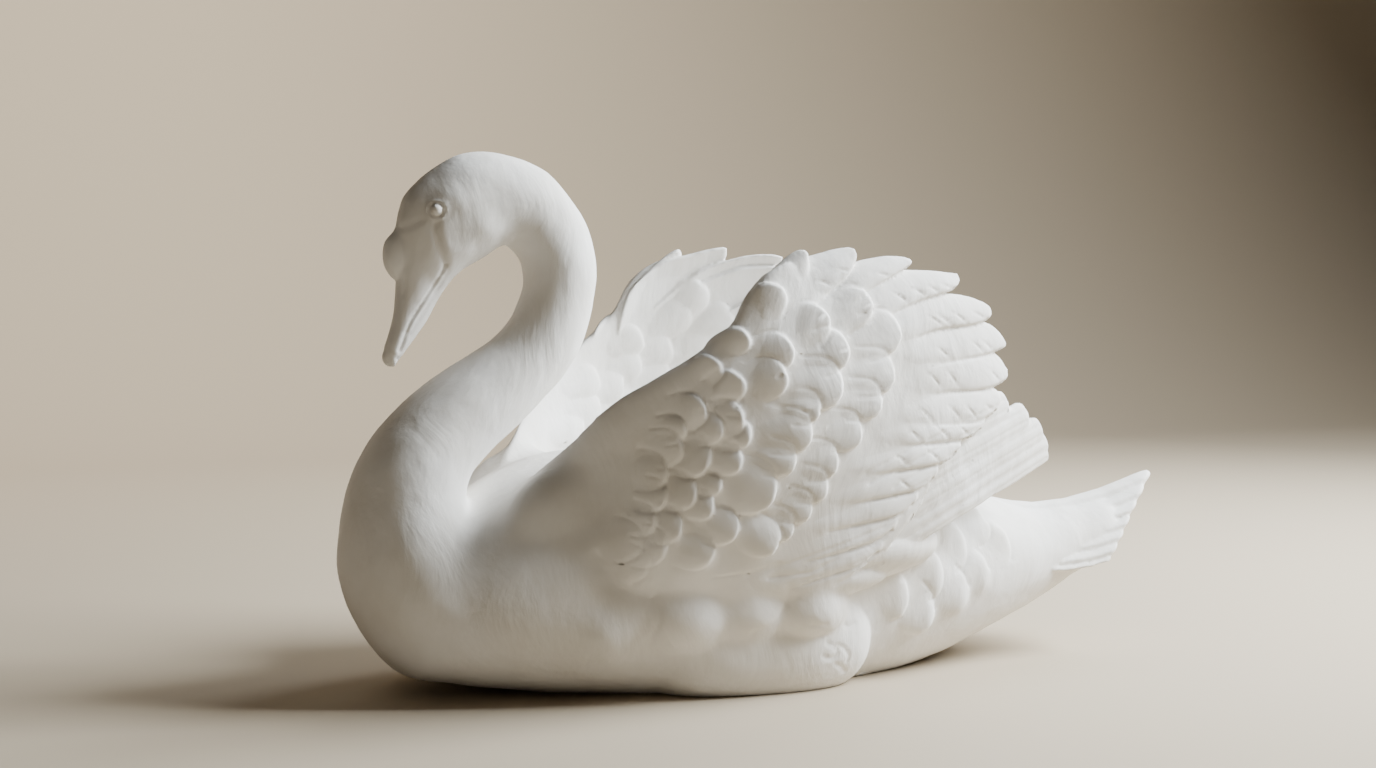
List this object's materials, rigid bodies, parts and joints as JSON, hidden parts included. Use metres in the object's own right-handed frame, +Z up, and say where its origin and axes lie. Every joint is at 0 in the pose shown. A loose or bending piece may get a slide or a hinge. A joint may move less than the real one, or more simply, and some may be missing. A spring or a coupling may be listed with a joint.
{
  "type": "swan statue",
  "caption": "Cast plaster figure of a resting swan, neck drawn back in an S over the breast, feathered wings raised over its back, flat underside to stand on.",
  "frame": {"origin": "on the floor, under the middle of the figure's box", "axes": "+X from the breast towards the tail, +Z up; the two sides mirror each other across Y = 0"},
  "size_m": [0.9, 0.4244, 0.5225],
  "materials": {
    "plaster": "matte, unglazed, hand-smoothed white plaster"
  },
  "bodies": {
    "root": {"swan": "plaster"}
  },
  "joints": []
}
